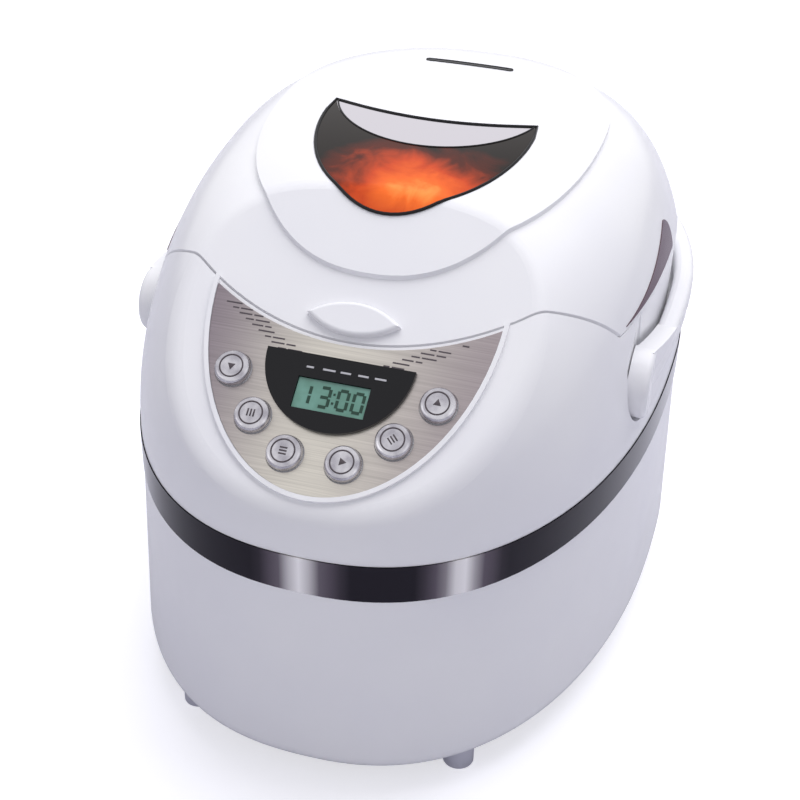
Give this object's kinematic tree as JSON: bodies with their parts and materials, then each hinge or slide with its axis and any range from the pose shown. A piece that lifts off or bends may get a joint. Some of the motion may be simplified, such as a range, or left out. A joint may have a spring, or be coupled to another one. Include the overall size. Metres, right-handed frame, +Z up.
{
  "type": "bread machine",
  "caption": "Countertop bread machine with egg-shaped white body, domed windowed lid, sloping control panel, removable kneading pan and bail carry handle.",
  "frame": {"origin": "on the floor under the middle of the overall box", "axes": "+Z up, -Y towards the control panel, +X to the right seen from the front"},
  "size_m": [0.2872, 0.406, 0.2733],
  "materials": {
    "white_plastic": "glossy injection-moulded white",
    "chrome_trim": "polished chrome plating",
    "dark_chrome": "tinted dark chrome",
    "brushed_panel": "brushed",
    "black_plastic": "satin black",
    "button_plastic": "silver-lacquered",
    "lcd_glass": "grey-green display",
    "tinted_glass": "smoke-tinted",
    "clear_glass": "clear heat-resistant",
    "rubber": "moulded",
    "sheet_steel": "zinc-plated sheet",
    "enamel": "grey heat-resistant coating",
    "nonstick": "non-stick coated aluminium",
    "steel": "turned steel",
    "cast_alloy": "die-cast",
    "motor_shell": "black lacquer",
    "circuit_board": "green solder mask"
  },
  "bodies": {
    "housing": {"lower_housing": "white_plastic", "upper_housing": "white_plastic", "base_plate": "black_plastic", "trim_band": "chrome_trim", "control_panel": "brushed_panel", "display_bezel": "black_plastic", "lcd_display": "lcd_glass", "control_board": "circuit_board", "button_switches": "black_plastic", "hinge_pin": "steel", "handle_pins": "steel", "rubber_feet": "rubber", "base_screws": "steel", "chassis_plate": "sheet_steel", "chassis_screws": "steel", "motor": "motor_shell", "drive_belt": "rubber", "bearing_housing": "cast_alloy", "run_capacitor": "black_plastic", "oven_chamber": "enamel", "heating_element": "steel", "element_clips": "sheet_steel", "temperature_sensor": "steel", "pan_clips": "sheet_steel", "cord_gland": "black_plastic"},
    "lid": {"lid_shell": "white_plastic", "lid_tab": "white_plastic", "lid_window": "tinted_glass", "window_trim": "chrome_trim", "steam_vent": "black_plastic", "side_trims": "dark_chrome", "lid_liner": "sheet_steel", "inner_window": "clear_glass", "liner_screws": "steel"},
    "handle": {"carry_handle": "white_plastic"},
    "pan": {"bread_pan": "nonstick", "pan_base_ring": "cast_alloy", "pan_bearing": "cast_alloy"},
    "pan_bail": {"pan_handle": "steel"},
    "kneader": {"kneading_shaft": "steel", "kneading_paddle": "nonstick"},
    "drive": {"drive_pulley": "cast_alloy", "drive_shaft": "steel", "drive_coupling": "cast_alloy"},
    "motor_rotor": {"motor_pulley": "black_plastic", "motor_shaft": "steel"},
    "timer_down_button": {"timer_down_button": "button_plastic"},
    "size_button": {"size_button": "button_plastic"},
    "menu_button": {"menu_button": "button_plastic"},
    "start_button": {"start_button": "button_plastic"},
    "crust_button": {"crust_button": "button_plastic"},
    "timer_up_button": {"timer_up_button": "button_plastic"}
  },
  "joints": [
    {"name": "lid_hinge", "type": "hinge", "parent": "housing", "child": "lid", "pos_m": [0, 0.17757, 0.217], "axis": [-1, 0, 0], "range_deg": [0, 95]},
    {"name": "handle_swing", "type": "hinge", "parent": "housing", "child": "handle", "pos_m": [0, -0.05343, 0.177], "axis": [1, 0, 0], "range_deg": [0, 92]},
    {"name": "pan_lift", "type": "slide", "parent": "housing", "child": "pan", "axis": [0, 0, 1], "range_m": [0, 0.034]},
    {"name": "pan_bail_swing", "type": "hinge", "parent": "pan", "child": "pan_bail", "pos_m": [0, 0.00357, 0.198], "axis": [1, 0, 0], "range_deg": [0, 34]},
    {"name": "drive_spin", "type": "hinge", "parent": "housing", "child": "drive", "pos_m": [0, 0.00357, 0.054], "axis": [0, 0, 1], "continuous": true},
    {"name": "motor_spin", "type": "hinge", "parent": "housing", "child": "motor_rotor", "pos_m": [0, -0.13343, 0.054], "axis": [0, 0, 1], "continuous": true},
    {"name": "kneader_spin", "type": "hinge", "parent": "pan", "child": "kneader", "pos_m": [0, 0.00357, 0.094], "axis": [0, 0, 1], "continuous": true},
    {"name": "timer_down_button_press", "type": "slide", "parent": "housing", "child": "timer_down_button", "axis": [0, 0.5736, -0.8192], "range_m": [0, 0.0015], "stiffness_N_per_m": 600},
    {"name": "size_button_press", "type": "slide", "parent": "housing", "child": "size_button", "axis": [0, 0.5736, -0.8192], "range_m": [0, 0.0015], "stiffness_N_per_m": 600},
    {"name": "menu_button_press", "type": "slide", "parent": "housing", "child": "menu_button", "axis": [0, 0.5736, -0.8192], "range_m": [0, 0.0015], "stiffness_N_per_m": 600},
    {"name": "start_button_press", "type": "slide", "parent": "housing", "child": "start_button", "axis": [0, 0.5736, -0.8192], "range_m": [0, 0.0015], "stiffness_N_per_m": 600},
    {"name": "crust_button_press", "type": "slide", "parent": "housing", "child": "crust_button", "axis": [0, 0.5736, -0.8192], "range_m": [0, 0.0015], "stiffness_N_per_m": 600},
    {"name": "timer_up_button_press", "type": "slide", "parent": "housing", "child": "timer_up_button", "axis": [0, 0.5736, -0.8192], "range_m": [0, 0.0015], "stiffness_N_per_m": 600}
  ],
  "couplings": [
    {"joint": "motor_spin", "follows": "drive_spin", "ratio": 4.6667},
    {"joint": "kneader_spin", "follows": "drive_spin", "ratio": 1}
  ]
}
